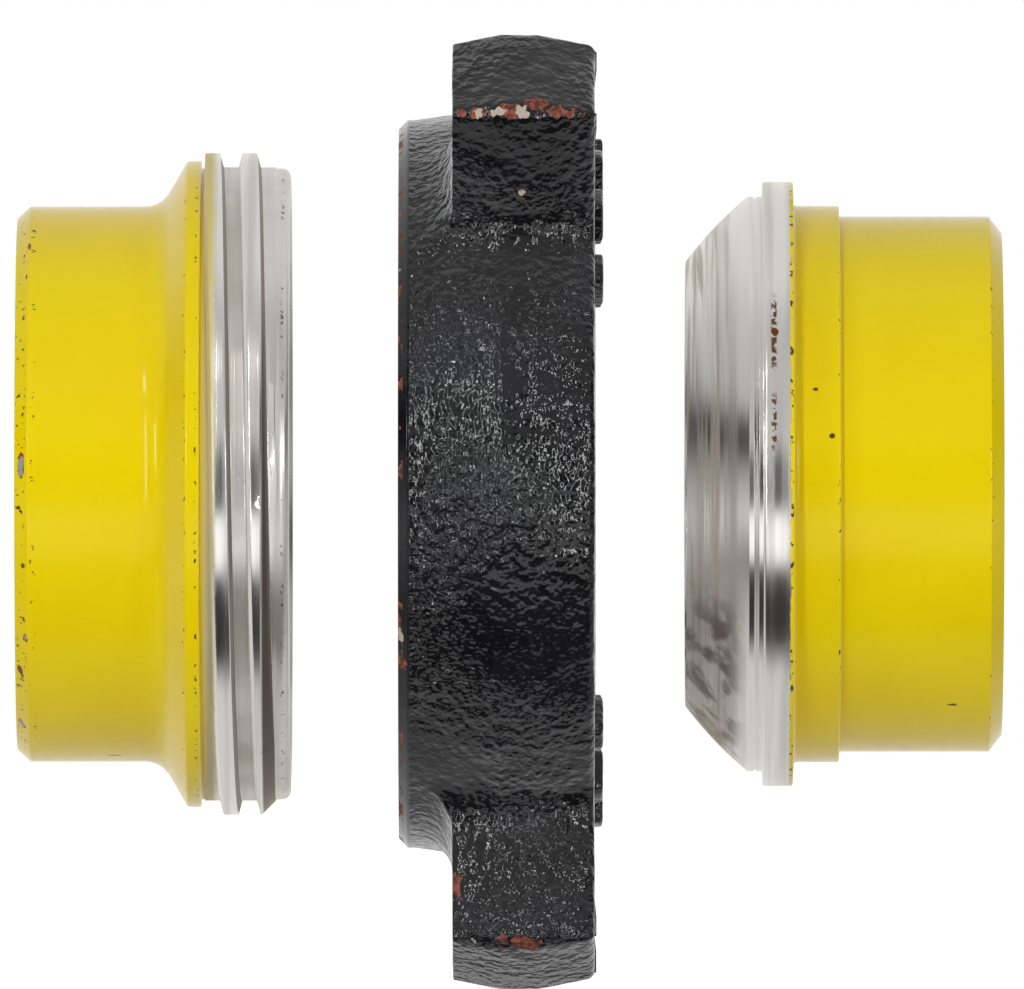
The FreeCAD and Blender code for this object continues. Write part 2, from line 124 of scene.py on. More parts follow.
def thread_rows(first, last, pitch, crest_at_top, ridge, wall, crease=None, turn=TURN):
    """Rows of a right-hand screw thread between two places on the axis.

    The ridge's outline, or the groove's of an inside thread, is repeated every pitch. Each
    row climbs by one pitch in a turn, and is held between the two ends. Its radius is
    wall(along, height), where the height is read from the outline at the point's distance
    from the nearest crest. The row nearest to a crease is moved onto it.
    """
    climb = crest_at_top + pitch * (turn - TOP) / (2 * math.pi)
    count = math.ceil((last - first) / pitch) + 1
    start = math.floor((first - climb.max()) / pitch)
    turns = np.arange(start, start + count + 3) * pitch
    offsets = (turns[:, None] + ridge[:-1, 0]).ravel()
    along = np.clip(climb + offsets[:, None], first, last)
    if crease is not None:
        nearest = abs(along - crease).argmin(axis=0)
        along[nearest, np.arange(len(turn))] = crease
    phase = (along - climb + pitch / 2) % pitch - pitch / 2
    return along, wall(along, np.interp(phase, *ridge.T))


def mesh_of_rows(name, points, ring=True):
    """A closed skin from rows of points. In a ring the last row closes on the first.

    The last column lies on the first, in a thread one turn further on, so merging what
    coincides closes the seam and takes out the rows that an end holds back.
    """
    rows, columns = points.shape[:2]
    number = np.arange(rows * columns).reshape(rows, columns)
    below = np.roll(number, -1, axis=0)
    if not ring:
        number, below = number[:-1], below[:-1]
    sides = [number[:, :-1], number[:, 1:], below[:, 1:], below[:, :-1]]
    mesh = bpy.data.meshes.new(name)
    mesh.from_pydata(points.reshape(-1, 3), [], np.stack(sides, axis=-1).reshape(-1, 4))
    work = bmesh.new()
    work.from_mesh(mesh)
    bmesh.ops.remove_doubles(work, verts=work.verts, dist=2e-6)
    bmesh.ops.dissolve_degenerate(work, dist=1e-6, edges=work.edges)
    bmesh.ops.recalc_face_normals(work, faces=work.faces)
    work.to_mesh(mesh)
    work.free()
    return mesh


def smooth(mesh, sharp_from):
    """Shade a mesh smooth, except over edges that turn by more than this angle in degrees."""
    mesh.shade_smooth()
    mesh.set_sharp_from_angle(angle=math.radians(sharp_from))


def turned_mesh(name, zones):
    """A round piece: each point of a zone's rows lies at its radius and angle round X."""
    along = np.vstack([zone[0] for zone in zones])
    radius = np.vstack([zone[1] for zone in zones])
    points = np.stack([along, radius * np.cos(TURN), radius * np.sin(TURN)], axis=-1) * MM
    mesh = mesh_of_rows(name, points)
    smooth(mesh, 34)
    return mesh


def stand(name, mesh, body, node, material):
    """Show a mesh in place of its node, on its body, with its finish."""
    thing = bpy.data.objects.new(name, mesh)
    bpy.context.scene.collection.objects.link(thing)
    mesh.materials.append(material)
    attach(thing, body)
    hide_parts(node)


# Pipe thread, 8 to the inch, tapering 1 in 16 on the diameter
PIPE_PITCH = INCH / 8
PIPE_WIDENING = 1 / 32
PIPE_HOLE_R = 53.98
PIPE_HOLE_DEPTH = 36.0
PIPE_MOUTH_R = 57.1
PIPE_GROOVE_DEPTH = 2.1
PIPE_GROOVE_HALF = 1.42
PIPE_FLOOR_HALF = 0.17
PIPE_GROOVE = np.array([
    (-PIPE_PITCH / 2, 0), (-PIPE_GROOVE_HALF, 0),
    (-PIPE_FLOOR_HALF, PIPE_GROOVE_DEPTH), (PIPE_FLOOR_HALF, PIPE_GROOVE_DEPTH),
    (PIPE_GROOVE_HALF, 0), (PIPE_PITCH / 2, 0)])
FLOW_R = 48.0


def pipe_thread(first, last, mouth):
    """Rows of a pipe thread that widens by 1 in 32 on the radius towards the mouth.

    The mouth's countersink is a 45 degree cone, and the wall is the wider of the two.
    """
    depth = abs(last - first)

    def wall(along, height):
        from_mouth = abs(along - mouth)
        thread = PIPE_HOLE_R + (depth - from_mouth) * PIPE_WIDENING + height
        return np.maximum(thread, PIPE_MOUTH_R - from_mouth)
    return thread_rows(first, last, PIPE_PITCH, mouth, PIPE_GROOVE, wall)


# Union thread, three turns to the inch, with the ridge on the sub
PITCH = INCH / 3
ROOT_R = 72.45
THREAD_DEPTH = 3.25
FOOT_HALF = 2.49
FOOT_ROUND = 0.35
CREST_HALF = 1.65
CREST_ROUND = 0.28
SUB_RIDGE = rounded([
    (-PITCH / 2, 0, 0), (-FOOT_HALF, 0, FOOT_ROUND), (-CREST_HALF, THREAD_DEPTH, CREST_ROUND),
    (0, THREAD_DEPTH, 0),
    (CREST_HALF, THREAD_DEPTH, CREST_ROUND), (FOOT_HALF, 0, FOOT_ROUND), (PITCH / 2, 0, 0)],
    steps=4)

# Places along the thread sub are measured from its pipe end
SUB_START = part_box("thread_sub")[0].x / MM
SUB_LENGTH = 62.504
SUB_FACE_INNER_R = 58.5
SUB_FACE_OUTER_R = 60.7
SUB_BEVEL = 3.0
SUB_BARREL_R = 63.5
SUB_BARREL_END = 32.9
SUB_COLLAR_R = 73.9
SUB_COLLAR_START = 38.904
SUB_COLLAR_END = 42.004
RELIEF_END = 42.904
CREST_AT_TOP = 44.604
PILOT_R = 72.2
PILOT_START = 59.354
SEAT_MOUTH_R = 66.5
SEAT_BOTTOM = 44.0


def sub_thread_wall(along, height):
    """The thread's root and ridge, cut by the 45 degree chamfer down to the pilot."""
    chamfer = PILOT_R + SUB_START + PILOT_START - along
    return np.minimum(ROOT_R + height, np.maximum(chamfer, PILOT_R))


sub_outside = rounded([
    (0, SUB_FACE_INNER_R, 0), (0, SUB_FACE_OUTER_R, 0.25), (SUB_BEVEL, SUB_BARREL_R, 0.35),
    (SUB_BARREL_END, SUB_BARREL_R, 6.9), (SUB_COLLAR_START, SUB_COLLAR_R, 0.9),
    (SUB_COLLAR_END, SUB_COLLAR_R, 0.25), (SUB_COLLAR_END, PILOT_R, 0.2),
    (RELIEF_END, PILOT_R, 0)], steps=9)
sub_inside = rounded([
    (PILOT_START, PILOT_R, 0), (SUB_LENGTH, PILOT_R, 2.4), (SUB_LENGTH, SEAT_MOUTH_R, 0.3),
    (SEAT_BOTTOM, FLOW_R, 0.6), (PIPE_HOLE_DEPTH, FLOW_R, 0.4),
    (PIPE_HOLE_DEPTH, PIPE_HOLE_R, 0)], steps=7)
sub_pipe = pipe_thread(SUB_START, SUB_START + PIPE_HOLE_DEPTH, SUB_START)
sub_mesh = turned_mesh("thread_sub_skin", [
    ring_rows(sub_outside + [SUB_START, 0]),
    thread_rows(
        SUB_START + RELIEF_END, SUB_START + PILOT_START, PITCH, SUB_START + CREST_AT_TOP,
        SUB_RIDGE, sub_thread_wall,
        crease=SUB_START + PILOT_START - THREAD_DEPTH - (ROOT_R - PILOT_R)),
    ring_rows(sub_inside + [SUB_START, 0]),
    (sub_pipe[0][::-1], sub_pipe[1][::-1]),
])


def plug(tree, node, inputs):
    """Link or set a node's inputs, given as (name or number, socket or value) pairs."""
    for name, value in inputs:
        if isinstance(value, bpy.types.NodeSocket):
            tree.links.new(value, node.inputs[name])
        else:
            node.inputs[name].default_value = value


def add(tree, kind, inputs=(), output=0, **settings):
    """The output of a new node with these inputs and settings."""
    node = tree.nodes.new("ShaderNode" + kind)
    for name, value in settings.items():
        setattr(node, name, value)
    plug(tree, node, inputs)
    return node.outputs[output]


def sums(tree, operation, *values):
    """The result of a Math node on these values."""
    return add(tree, "Math", enumerate(values), operation=operation)


def product(tree, first, *others):
    """The values multiplied by each other, in their order."""
    for other in others:
        first = sums(tree, "MULTIPLY", first, other)
    return first


def flip(tree, mask):
    """One minus the mask."""
    return sums(tree, "SUBTRACT", 1.0, mask)


def ramp(tree, value, low, high, to_low=0.0, to_high=1.0):
    """The value carried from the range low..high to another, held at its ends, smoothly."""
    return add(tree, "MapRange", [
        ("Value", value), ("From Min", low), ("From Max", high), ("To Min", to_low),
        ("To Max", to_high)], interpolation_type="SMOOTHSTEP")


def near(tree, value, middle, far, close):
    """1 where the value is no further than close from the middle, and 0 from far on."""
    off = sums(tree, "ABSOLUTE", sums(tree, "SUBTRACT", value, middle))
    return ramp(tree, off, far, close)


def blend(tree, mask, first, second):
    """The first colour or socket where the mask is 0, and the second where it is 1."""
    return add(tree, "Mix", [(0, mask), (6, first), (7, second)], output=2, data_type="RGBA")


def between(tree, mask, first, second):
    """The first number where the mask is 0, and the second where it is 1."""
    return add(tree, "Mix", [(0, mask), (2, first), (3, second)], data_type="FLOAT")


def vectors(tree, operation, first, second):
    """The result of a Vector Math node on two vectors."""
    return add(tree, "VectorMath", [(0, first), (1, second)], operation=operation)


def length(tree, vector):
    """The length of a vector."""
    return add(tree, "VectorMath", [(0, vector)], output="Value", operation="LENGTH")


def place(tree):
    """Object coordinates."""
    return add(tree, "TexCoord", output="Object")


def along_axis(tree):
    """The distance along X."""
    return add(tree, "SeparateXYZ", [(0, place(tree))], output="X")


def noise(tree, scale, detail, spot=None, roughness=0.5):
    """A smooth noise over object coordinates, or over the spot where one is given."""
    where = place(tree) if spot is None else spot
    return add(tree, "TexNoise", [
        ("Vector", where), ("Scale", scale), ("Detail", detail), ("Roughness", roughness)])


def effect(name, inputs, output):
    """An empty shader group: its tree, its inputs' sockets by name, and its output node."""
    tree = bpy.data.node_groups.new(name, "ShaderNodeTree")
    for label, kind, value in inputs:
        socket = tree.interface.new_socket(label, in_out="INPUT", socket_type="NodeSocket" + kind)
        socket.default_value = value
    tree.interface.new_socket(output, in_out="OUTPUT", socket_type="NodeSocketFloat")
    given = tree.nodes.new("NodeGroupInput").outputs
    return tree, given, tree.nodes.new("NodeGroupOutput")


def use(tree, group, *values):
    """The output of a shader group placed in a material with these input values."""
    node = tree.nodes.new("ShaderNodeGroup")
    node.node_tree = group
    plug(tree, node, enumerate(values))
    return node.outputs[0]


def distance_from_axis():
    """Group: the radius about X."""
    tree, _, result = effect("distance_from_axis", [], "Radius")
    flat = vectors(tree, "MULTIPLY", place(tree), (0, 1, 1))
    tree.links.new(length(tree, flat), result.inputs[0])
    return tree


def ragged_step():
    """Group: 0 below a place on X and 1 above it, over an edge that a fine noise frays."""
    tree, given, result = effect("ragged_step", [
        ("At", "Float", 0.0), ("Soft", "Float", 0.0004), ("Fray", "Float", 0.0004),
        ("Scale", "Float", 400.0)], "Mask")
    swing = sums(tree, "SUBTRACT", noise(tree, given["Scale"], 3.0), 0.5)
    frayed = sums(tree, "MULTIPLY_ADD", swing, given["Fray"], along_axis(tree))
    past = sums(tree, "DIVIDE", sums(tree, "SUBTRACT", frayed, given["At"]), given["Soft"])
    tree.links.new(ramp(tree, past, -1.0, 1.0), result.inputs[0])
    return tree


def ragged_spot():
    """Group: 1 inside a ball round a place, whose size a noise frays, and 0 outside."""
    tree, given, result = effect("ragged_spot", [
        ("Place", "Vector", (0, 0, 0)), ("Stretch", "Vector", (1, 1, 1)),
        ("Size", "Float", 0.002), ("Fray", "Float", 0.002), ("Scale", "Float", 700.0)], "Mask")
    gap = vectors(tree, "SUBTRACT", place(tree), given["Place"])
    away = length(tree, vectors(tree, "DIVIDE", gap, given["Stretch"]))
    swing = sums(tree, "SUBTRACT", noise(tree, given["Scale"], 4.0), 0.5)
    frayed = sums(tree, "MULTIPLY_ADD", swing, product(tree, given["Fray"], 2.0), away)
    inside = sums(tree, "SUBTRACT", given["Size"], frayed)
    tree.links.new(ramp(tree, inside, 0.0, 0.0002), result.inputs[0])
    return tree


def flecks():
    """Group: 1 in the small peaks of a noise, the more of them the greater the cover."""
    tree, given, result = effect("flecks", [
        ("Scale", "Float", 300.0), ("Cover", "Float", 0.3), ("Shift", "Vector", (0, 0, 0))],
        "Mask")
    spot = vectors(tree, "ADD", place(tree), given["Shift"])
    peaks = noise(tree, given["Scale"], 2.5, spot, roughness=0.6)
    over = sums(tree, "SUBTRACT", peaks, flip(tree, given["Cover"]))
    tree.links.new(ramp(tree, over, 0.0, 0.03), result.inputs[0])
    return tree


def turning_marks():
    """Group: the fine rings that a lathe tool leaves, as a noise drawn out round the axis."""
    tree, given, result = effect("turning_marks", [("Rings", "Float", 3000.0)], "Height")
    drawn = add(tree, "CombineXYZ", [(0, given["Rings"]), (1, 9.0), (2, 9.0)])
    spot = vectors(tree, "MULTIPLY", place(tree), drawn)
    tree.links.new(noise(tree, 1.0, 2.0, spot), result.inputs[0])
    return tree


RADIUS = distance_from_axis()
STEP = ragged_step()
SPOT = ragged_spot()
FLECKS = flecks()
MARKS = turning_marks()

YELLOW = (0.78, 0.60, 0.0, 1)
DEEP_YELLOW = (0.76, 0.565, 0.0, 1)
STEEL = (0.63, 0.62, 0.59, 1)
DULL_STEEL = (0.50, 0.49, 0.465, 1)
RUST = (0.20, 0.045, 0.012, 1)
DIRT = (0.07, 0.034, 0.010, 1)
BARE_GREY = (0.30, 0.29, 0.28, 1)
OVERSPRAY = (0.62, 0.50, 0.16, 1)
BROWN_STAIN = (0.15, 0.085, 0.02, 1)
DARK_STAIN = (0.12, 0.06, 0.02, 1)
ROOT_GREASE = (0.40, 0.37, 0.32, 1)
# Painted shade: near-black brown laid on the thread flanks that face the nut
FLANK_SHADE = (0.045, 0.03, 0.02, 1)
PAINT_INNER_R = 0.0574


def at_front(x, z, radius):
    """The place on the camera's side of a round surface, in metres from millimetres."""
    return (x * MM, -math.sqrt(radius ** 2 - z ** 2) * MM, z * MM)


def painted_steel(name, painted, edges, chips, smears):
    """Gloss yellow paint on turned steel: a paint mask, dirt along edges, chips and smears.

    painted(tree) gives the paint's mask. An edge is (X, width, cover), a chip is (place,
    stretch, size, colour), and a smear is (its mask as a function of the tree, colour).
    """
    material = bpy.data.materials.new(name)
    material.use_nodes = True
    tree = material.node_tree
    outside = ramp(tree, use(tree, RADIUS), PAINT_INNER_R, PAINT_INNER_R + 0.0002)
    paint = product(tree, painted(tree), outside)
    broad_rings = use(tree, MARKS, 420.0)
    steel = blend(tree, ramp(tree, broad_rings, 0.35, 0.7), STEEL, DULL_STEEL)
    yellow = blend(tree, ramp(tree, noise(tree, 26.0, 2.0), 0.3, 0.75), YELLOW, DEEP_YELLOW)
    colour = blend(tree, paint, steel, yellow)
    worn = product(tree, use(tree, FLECKS, 900.0, 0.222, (1, 2, 3)), 0.8, outside)
    colour = blend(tree, worn, colour, DIRT)
    for x, width, cover in edges:
        beside = near(tree, along_axis(tree), x, width, width * 0.3)
        spots = use(tree, FLECKS, 620.0, cover, (x * 40, 0.5, 0.2))
        colour = blend(tree, product(tree, beside, spots), colour, DIRT)
    for spot, stretch, size, chip_colour in chips:
        rust_ring = use(tree, SPOT, spot, stretch, size * 1.3, size * 0.9, 600.0)
        chip = use(tree, SPOT, spot, stretch, size, size * 0.8, 800.0)
        colour = blend(tree, rust_ring, colour, RUST)
        colour = blend(tree, chip, colour, chip_colour)
    covered = 0.0
    for smear, smear_colour in smears:
        smeared = smear(tree)
        colour = blend(tree, smeared, colour, smear_colour)
        covered = sums(tree, "MAXIMUM", covered, smeared)
    fine_rings = use(tree, MARKS, 3200.0)
    peel = product(tree, noise(tree, 260.0, 1.0), 0.35)
    bumps = add(tree, "Bump", [
        ("Height", between(tree, paint, fine_rings, peel)), ("Strength", 0.22),
        ("Distance", 0.00012)])
    steel_gloss = ramp(tree, broad_rings, 0.3, 0.75, 0.17, 0.32)
    gloss = between(tree, paint, steel_gloss, 0.16)
    plug(tree, tree.nodes["Principled BSDF"], [
        ("Base Color", colour), ("Normal", bumps),
        ("Metallic", product(tree, flip(tree, paint), flip(tree, covered))),
        ("Roughness", between(tree, covered, gloss, 0.42)),
        ("Specular IOR Level", 0.15),
        ("Sheen Weight", 0.3), ("Sheen Roughness", 0.35), ("Sheen Tint", (1, 0.80, 0.45, 1)),
    ])
    return material


# Where the thread sub's finishes start and end along X, in metres
SPRAY_START = -0.1822
BARE_START = -0.1815
PAINT_END = -0.18075
SPRAY_END = -0.1797
THIN_GREASE_START = -0.1700


def sub_paint(tree):
    """Paint as far as the thread's first flank, where the spray thins out."""
    return flip(tree, use(tree, STEP, PAINT_END, 0.0007, 0.0006, 250.0))


def sub_overspray(tree):
    """The spray's thin edge over the first crest."""
    return product(tree, use(tree, STEP, SPRAY_START, 0.0005, 0.0006, 250.0),
                   flip(tree, use(tree, STEP, SPRAY_END, 0.0009, 0.001, 250.0)))


def brown_in_roots(tree):
    """Old grease left in the bottom of the thread, and half as much on the pilot."""
    low = ramp(tree, use(tree, RADIUS), 0.0737, 0.0724)
    less = product(tree, use(tree, STEP, THIN_GREASE_START, 0.0008, 0.0008, 300.0), 0.5)
    on_thread = sums(
        tree, "SUBTRACT", use(tree, STEP, BARE_START, 0.0005, 0.0002, 300.0), less)
    film = ramp(tree, noise(tree, 55.0, 3.0), 0.35, 0.7, 0.35, 0.75)
    return product(tree, low, on_thread, film)


def painted_flank_shade(tree):
    """Painted shade in dark brown on the flanks that look towards the nut, the more so the more
    they face it.
    """
    radius = use(tree, RADIUS)
    flank = product(tree, ramp(tree, radius, 0.07246, 0.0726), ramp(tree, radius, 0.0756, 0.0750))
    facing = add(tree, "SeparateXYZ", [(0, add(tree, "TexCoord", output="Normal"))], output="X")
    on_thread = use(tree, STEP, BARE_START, 0.0005, 0.0002, 300.0)
    return product(tree, flank, ramp(tree, facing, 0.1, 0.4, 0.15, 0.95), on_thread)


sub_edges = [
    (-0.2236, 0.0016, 0.38), (-0.2209, 0.0009, 0.36), (-0.1865, 0.0006, 0.36),
    (-0.1838, 0.0004, 0.41), (-0.1641, 0.0005, 0.42),
]
sub_chips = [
    (at_front(-223.5, 4.0, 62.2), (0.8, 1, 2.2), 0.0011, BARE_GREY),
    (at_front(-222.4, -34.8, 62.6), (0.8, 1, 1.6), 0.0008, BARE_GREY),
    (at_front(-223.8, -42.5, 62.0), (0.7, 1, 1.5), 0.0009, RUST),
    (at_front(-223.6, -54.8, 62.2), (0.7, 1, 2.4), 0.0010, BARE_GREY),
    (at_front(-202.7, -62.0, 63.5), (2.2, 1, 1), 0.0006, RUST),
    (at_front(-221.9, 54.0, 63.4), (0.35, 1.5, 6.0), 0.0008, BROWN_STAIN),
    (at_front(-222.4, 47.5, 63.4), (0.4, 1.2, 4.0), 0.0005, DARK_STAIN),
]
# The last smear is painted shade on the flanks that face the nut, not grease
sub_smears = [
    (sub_overspray, OVERSPRAY), (brown_in_roots, ROOT_GREASE), (painted_flank_shade, FLANK_SHADE),
]
stand("dressed_thread_sub", sub_mesh, "thread_sub", "thread_sub",
      painted_steel(
          "yellow_paint_on_thread_sub", sub_paint, sub_edges, sub_chips, sub_smears))


# WING NUT
# A drop forging with three lugs to strike with a hammer, bored and threaded from its mouth
# side, where the bevel is machined too. All of it is dipped in glossy black paint.

# Places along the nut are measured from its mouth
NUT_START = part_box("wing_nut")[0].x / MM
NUT_WIDTH = 44.85
NUT_LEAN = math.radians(38)
NUT_FACE_INNER_R = 79.0
NUT_FACE_OUTER_R = 81.21
NUT_BEVEL = 2.0
SKIN_START = 2.5
SKIN_START_R = 83.28
BAND_START = 23.3
BAND_END = 31.7
HUB_R = 86.2
HUB_DRAFT = math.tan(math.radians(8))
LUG_DRAFT = math.tan(math.radians(11))
LUG_DRAFT_RUN = 10
LUG_REACH = 119.4
LUG_HALF = 15.8
LUG_FOOT = 8.0
LUG_CORNER = 4.0
LUG_SETBACK = 12.1
LUG_ROUND = 1.3
BACK_BLEND = 7.0
FACE_ROUND = 1.8
EYE_R = 64.4
EYE_BEVEL = 1.2
EYE_RIM_R = EYE_R + 1.5


def lug_third():
    """A third of the rim seen along the axis: a lug on the second axis, hub on both sides.

    The half outline runs from the tip over the corner, down the side, round the foot and
    along the hub. An arc's point is its centre plus or minus its radius times the outward
    normal. The other half is its mirror image. Gives the points and the normals.
    """
    foot_x = LUG_HALF + LUG_FOOT
    foot_y = math.sqrt((HUB_R + LUG_FOOT) ** 2 - foot_x ** 2)
    foot_angle = math.asin(foot_x / (HUB_R + LUG_FOOT))

    def normals(start, end, count):
        angle = np.linspace(start, end, count, endpoint=False)
        return np.stack([np.sin(angle), np.cos(angle)], axis=-1)

    def line(start, end, count):
        share = np.linspace(0, 1, count, endpoint=False)[:, None]
        return np.array(start) + share * (np.array(end) - start)
    quarter = math.pi / 2
    tip = line((0, LUG_REACH), (LUG_HALF - LUG_CORNER, LUG_REACH), 10)
    corner = normals(0, quarter, 7)
    side = line((LUG_HALF, LUG_REACH - LUG_CORNER), (LUG_HALF, foot_y), 17)
    foot = normals(quarter, foot_angle, 12)
    hub = normals(foot_angle, math.pi / 3, 38)
    half = np.concatenate([
        tip,
        (LUG_HALF - LUG_CORNER, LUG_REACH - LUG_CORNER) + LUG_CORNER * corner,
        side,
        (foot_x, foot_y) - LUG_FOOT * foot,
        HUB_R * hub,
    ])
    facing = np.concatenate([
        tip * 0 + (0, 1), corner, side * 0 + (1, 0), foot, hub])
    mirror = (-1, 1)
    start_hub = np.array([[math.sin(math.pi / 3), math.cos(math.pi / 3)]])
    left = np.concatenate([start_hub * HUB_R, half[:0:-1]]) * mirror
    left_facing = np.concatenate([start_hub, facing[:0:-1]]) * mirror
    return np.concatenate([left, half]), np.concatenate([left_facing, facing])


third, third_facing = lug_third()
rim, rim_facing, rim_turn = [], [], []
for lug_angle in TOP + NUT_LEAN + np.array([0, 2, 4]) * math.pi / 3:
    axis = np.array([math.cos(lug_angle), math.sin(lug_angle)])
    across = np.array([-axis[1], axis[0]])
    rim.append(third[:, :1] * across + third[:, 1:] * axis)
    rim_facing.append(third_facing[:, :1] * across + third_facing[:, 1:] * axis)
    rim_turn.append(lug_angle + np.arctan2(third[:, 0], third[:, 1]))
rim = np.concatenate(rim + [rim[0][:1]])
rim_facing = np.concatenate(rim_facing + [rim_facing[0][:1]])
rim_turn = np.concatenate(rim_turn + [rim_turn[0][:1] + 2 * math.pi])
rim_round = np.stack([np.cos(rim_turn), np.sin(rim_turn)], axis=-1)
lug_share = np.clip((np.linalg.norm(rim, axis=-1) - HUB_R) / LUG_DRAFT_RUN, 0, 1)


def rim_rows(along, height, inset):
    """Rows of the nut's outside: from the hub's circle towards the lugs' outline.

    Both shrink away from the parting band by their draft and by the inset. A point lies on
    the line from the circle to the outline, at the given height over the hub. A height over
    the tip gives the outline itself.
    """
    away = np.maximum(np.maximum(BAND_START - along, along - BAND_END), 0)
    hub = (HUB_R - away * HUB_DRAFT - inset)[..., None] * rim_round
    draft = HUB_DRAFT + (LUG_DRAFT - HUB_DRAFT) * lug_share
    lug = rim - (away * draft + inset)[..., None] * rim_facing
    rise = np.linalg.norm(lug - hub, axis=-1)
    share = np.clip(height / np.maximum(rise, 1e-6), 0, 1)[..., None]
    return np.concatenate([along[..., None], hub + share * (lug - hub)], axis=-1)


def nut_outside():
    """The nut's outside from the machined bevel to the rounded edge of the shoulder face.

    Behind a lug the surface leaves the hub on a quarter circle, climbs the lug's flat back
    and rounds its edge. Columns without a lug have no height to climb, so their rows meet.
    """
    columns = len(rim_turn)
    full = np.linalg.norm(rim - HUB_R * rim_round, axis=-1)
    edge = LUG_ROUND * np.clip((full - BACK_BLEND) / 3, 0, 1)
    quarter = np.linspace(0, math.pi / 2, 9)[:, None]
    cap = np.minimum(BACK_BLEND, full - edge)
    blend_start = LUG_SETBACK - BACK_BLEND
    plain = np.zeros(columns)
    hub_run = np.linspace(SKIN_START + 0.1, blend_start, 4, endpoint=False)[:, None]
    blend = blend_start + BACK_BLEND * np.sin(quarter) + plain
    blend_height = np.minimum(BACK_BLEND * (1 - np.cos(quarter)), cap)
    climb = np.linspace(0, 1, 12)[1:, None]
    wall_height = cap + climb * (full - edge - cap)
    turn_edge = np.linspace(0, math.pi / 2, 5)[1:, None]
    lug_run = np.linspace(0, 1, 12)[1:-1, None]
    lug_start = LUG_SETBACK + edge
    band = np.linspace(BAND_START, BAND_END, 9)[:, None]
    far = np.linspace(BAND_END, NUT_WIDTH - FACE_ROUND, 13)[1:, None]
    turn_face = np.linspace(0, math.pi / 2, 6)[1:, None]
    over_tip = np.full(columns, 1e3)
    parts = [
        (hub_run + plain, plain + hub_run * 0, 0 * hub_run + plain),
        (blend, blend_height, blend * 0),
        (LUG_SETBACK + wall_height * 0, wall_height, wall_height * 0),
        (LUG_SETBACK + edge * (1 - np.cos(turn_edge)), full - edge + edge * np.sin(turn_edge),
         edge * turn_edge * 0),
        (lug_start + lug_run * (BAND_START - lug_start), over_tip + lug_run * 0,
         plain + lug_run * 0),
        (band + plain, over_tip + band * 0, plain + band * 0),
        (far + plain, over_tip + far * 0, plain + far * 0),
        (NUT_WIDTH - FACE_ROUND * (1 - np.sin(turn_face)) + plain, over_tip + turn_face * 0,
         FACE_ROUND * (1 - np.cos(turn_face)) + plain),
    ]
    return np.concatenate([rim_rows(*part) for part in parts])


def round_rows(points):
    """Circles round the axis from (along, radius) points, on the rim's own columns."""
    along, radius = ring_rows(points, rim_turn)
    return np.concatenate([along[..., None], radius[..., None] * rim_round], axis=-1)


NUT_MINOR_R = 72.85
NUT_MOUTH_R = 77.1
NUT_THREAD_END = 24.45
NUT_RELIEF_R = 76.6
SHOULDER_START = 30.85
GROOVE_AT_TOP = -0.261
GROOVE_HALF = 2.687
FLOOR_HALF = 1.85
NUT_GROOVE = rounded([
    (-PITCH / 2, 0, 0), (-GROOVE_HALF, 0, 0.2), (-FLOOR_HALF, THREAD_DEPTH, 0.25),
    (FLOOR_HALF, THREAD_DEPTH, 0.25), (GROOVE_HALF, 0, 0.2), (PITCH / 2, 0, 0)], steps=3)


def nut_thread_wall(along, height):
    """The inside thread, opened by the 45 degree countersink of the mouth."""
    return np.maximum(NUT_MINOR_R + height, NUT_MOUTH_R - along)


outside_rows = nut_outside()
face_edge = outside_rows[-1]
eye_rim = round_rows([(NUT_WIDTH, EYE_RIM_R)])[0]
face_share = np.linspace(0, 1, 12)[1:-1, None, None]
thread_along, thread_radius = thread_rows(
    0, NUT_THREAD_END, PITCH, GROOVE_AT_TOP, NUT_GROOVE, nut_thread_wall, turn=rim_turn)
nut_points = np.concatenate([
    round_rows(rounded([
        (0, NUT_FACE_INNER_R, 0), (0, NUT_FACE_OUTER_R, 0.2),
        (NUT_BEVEL, NUT_FACE_OUTER_R + NUT_BEVEL, 0.35), (SKIN_START, SKIN_START_R, 0)])),
    outside_rows,
    face_edge + face_share * (eye_rim - face_edge),
    round_rows(rounded([
        (NUT_WIDTH, EYE_RIM_R, 0), (NUT_WIDTH, EYE_R + EYE_BEVEL, 0.2),
        (NUT_WIDTH - EYE_BEVEL, EYE_R, 0.2), (SHOULDER_START + EYE_BEVEL, EYE_R, 0.2),
        (SHOULDER_START, EYE_R + EYE_BEVEL, 0.2), (SHOULDER_START, NUT_RELIEF_R, 0.4),
        (NUT_THREAD_END, NUT_RELIEF_R, 0.3),
        (NUT_THREAD_END, NUT_MINOR_R + THREAD_DEPTH, 0)])),
    np.concatenate([thread_along[..., None], thread_radius[..., None] * rim_round],
                   axis=-1)[::-1],
])
nut_mesh = mesh_of_rows("wing_nut_skin", (nut_points + [NUT_START, 0, 0]) * MM)


def lumps(points, size, seed):
    """Smooth random heights from -1 to 1.

    Seeded numbers stand on a lattice of this spacing, and a point takes those of its eight
    corners, each weighted by 3t^2 - 2t^3 along every axis.
    """
    table = np.random.default_rng(seed).uniform(-1, 1, (32, 32, 32))
    spot = points / size
    base = np.floor(spot).astype(int)
    share = (spot - base) ** 2 * (3 - 2 * (spot - base))
    total = np.zeros(len(points))
    for corner in np.ndindex(2, 2, 2):
        weight = np.prod(np.where(corner, share, 1 - share), axis=-1)
        total += weight * table[tuple(((base + corner) % 32).T)]
    return total


SKIN_DEPTH = 0.25
SKIN_LUMPS = [(0.11, 9, 1), (0.07, 4, 2), (0.05, 2.2, 3)]
HUB_SKIN_R = 79.5
FACE_SKIN_R = 66.5
FLASH_HEIGHT = 0.34
FLASH_WIDTH = 0.5
FLASH_END_R = 92


